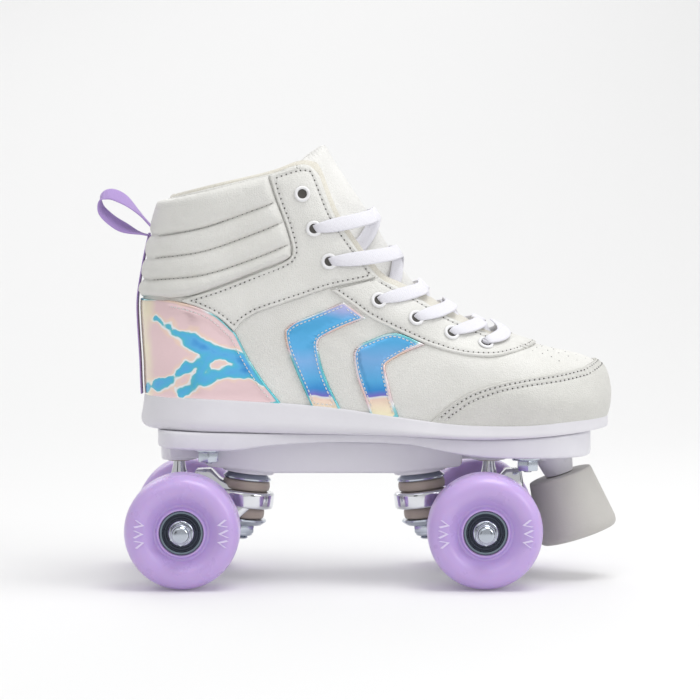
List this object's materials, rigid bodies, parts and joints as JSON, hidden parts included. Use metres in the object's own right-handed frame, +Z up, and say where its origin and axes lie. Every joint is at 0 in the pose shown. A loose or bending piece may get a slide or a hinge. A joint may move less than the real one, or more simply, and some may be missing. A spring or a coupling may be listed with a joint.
{
  "type": "quad roller skate",
  "caption": "Laced high-top roller skate on a moulded plate, with steering trucks, wheels on ball bearings and an adjustable toe stop.",
  "frame": {"origin": "on the ground, below the centre of the bounding box", "axes": "+X towards the toe, +Y towards the inner side of the foot, +Z up"},
  "size_m": [0.2659, 0.132, 0.2234],
  "materials": {
    "white_leather": "satin grained coated leather",
    "grey_leather": "satin grained coated leather",
    "cream_cloth": "soft padded cloth",
    "iridescent_foil": "glossy iridescent film",
    "white_lace": "flat woven lace",
    "lilac_tape": "woven tape",
    "white_sole": "matt moulded sole",
    "white_nylon": "satin moulded nylon",
    "lilac_urethane": "satin cast urethane",
    "cushion_urethane": "matt cast urethane",
    "bearing_steel": "polished shields",
    "grey_rubber": "matt moulded rubber",
    "polished_metal": "bright polished casting",
    "zinc_steel": "bright zinc plate"
  },
  "bodies": {
    "boot_and_plate": {"plate": "white_nylon", "midsole": "white_sole", "upper": "white_leather", "lining": "cream_cloth", "tongue": "white_leather", "insole": "cream_cloth", "toe_cap": "grey_leather", "eyestay": "white_leather", "heel_foil": "iridescent_foil", "heel_tape": "lilac_tape", "lace": "white_lace", "toe_stop_nut": "zinc_steel", "ankle_panel_outer": "white_leather", "collar_quilt_outer": "white_leather", "rear_chevron_outer": "iridescent_foil", "front_chevron_outer": "iridescent_foil", "ankle_panel_inner": "white_leather", "collar_quilt_inner": "white_leather", "rear_chevron_inner": "iridescent_foil", "front_chevron_inner": "iridescent_foil", "sole_bolt_rear_outer": "zinc_steel", "sole_bolt_rear_inner": "zinc_steel", "sole_bolt_front_outer": "zinc_steel", "sole_bolt_front_inner": "zinc_steel", "front_kingpin": "zinc_steel", "front_kingpin_nut": "zinc_steel", "front_upper_washer": "zinc_steel", "front_lower_washer": "zinc_steel", "front_upper_cushion": "cushion_urethane", "front_lower_cushion": "cushion_urethane", "front_pivot_cup": "cushion_urethane", "rear_kingpin": "zinc_steel", "rear_kingpin_nut": "zinc_steel", "rear_upper_washer": "zinc_steel", "rear_lower_washer": "zinc_steel", "rear_upper_cushion": "cushion_urethane", "rear_lower_cushion": "cushion_urethane", "rear_pivot_cup": "cushion_urethane"},
    "front_truck": {"front_truck_hanger": "polished_metal", "front_axle": "zinc_steel", "front_axle_nut_outer": "zinc_steel", "front_axle_nut_inner": "zinc_steel"},
    "front_wheel_outer_rolling": {"front_wheel_outer": "lilac_urethane", "front_bearing_outer_outside": "bearing_steel", "front_bearing_outer_inside": "bearing_steel"},
    "front_wheel_inner_rolling": {"front_wheel_inner": "lilac_urethane", "front_bearing_inner_outside": "bearing_steel", "front_bearing_inner_inside": "bearing_steel"},
    "rear_truck": {"rear_truck_hanger": "polished_metal", "rear_axle": "zinc_steel", "rear_axle_nut_outer": "zinc_steel", "rear_axle_nut_inner": "zinc_steel"},
    "rear_wheel_outer_rolling": {"rear_wheel_outer": "lilac_urethane", "rear_bearing_outer_outside": "bearing_steel", "rear_bearing_outer_inside": "bearing_steel"},
    "rear_wheel_inner_rolling": {"rear_wheel_inner": "lilac_urethane", "rear_bearing_inner_outside": "bearing_steel", "rear_bearing_inner_inside": "bearing_steel"},
    "toe_stop_set": {"toe_stop": "grey_rubber", "toe_stop_stem": "zinc_steel"}
  },
  "joints": [
    {"name": "front_truck_steer", "type": "hinge", "parent": "boot_and_plate", "child": "front_truck", "pos_m": [0.06743, 0, 0.063], "axis": [0.8386, 0, 0.5448], "range_deg": [-7, 7], "stiffness_Nm_per_rad": 60, "deforming": ["front_upper_cushion", "front_lower_cushion"]},
    {"name": "front_wheel_outer_spin", "type": "hinge", "parent": "front_truck", "child": "front_wheel_outer_rolling", "pos_m": [0.06343, -0.044, 0.029], "axis": [0, 1, 0], "continuous": true},
    {"name": "front_wheel_inner_spin", "type": "hinge", "parent": "front_truck", "child": "front_wheel_inner_rolling", "pos_m": [0.06343, 0.044, 0.029], "axis": [0, 1, 0], "continuous": true},
    {"name": "rear_truck_steer", "type": "hinge", "parent": "boot_and_plate", "child": "rear_truck", "pos_m": [-0.09257, 0, 0.063], "axis": [-0.8386, 0, 0.5448], "range_deg": [-7, 7], "stiffness_Nm_per_rad": 60, "deforming": ["rear_upper_cushion", "rear_lower_cushion"]},
    {"name": "rear_wheel_outer_spin", "type": "hinge", "parent": "rear_truck", "child": "rear_wheel_outer_rolling", "pos_m": [-0.08857, -0.044, 0.029], "axis": [0, 1, 0], "continuous": true},
    {"name": "rear_wheel_inner_spin", "type": "hinge", "parent": "rear_truck", "child": "rear_wheel_inner_rolling", "pos_m": [-0.08857, 0.044, 0.029], "axis": [0, 1, 0], "continuous": true},
    {"name": "toe_stop_height", "type": "slide", "parent": "boot_and_plate", "child": "toe_stop_set", "axis": [0.309, 0, -0.9511], "range_m": [0, 0.005]}
  ]
}
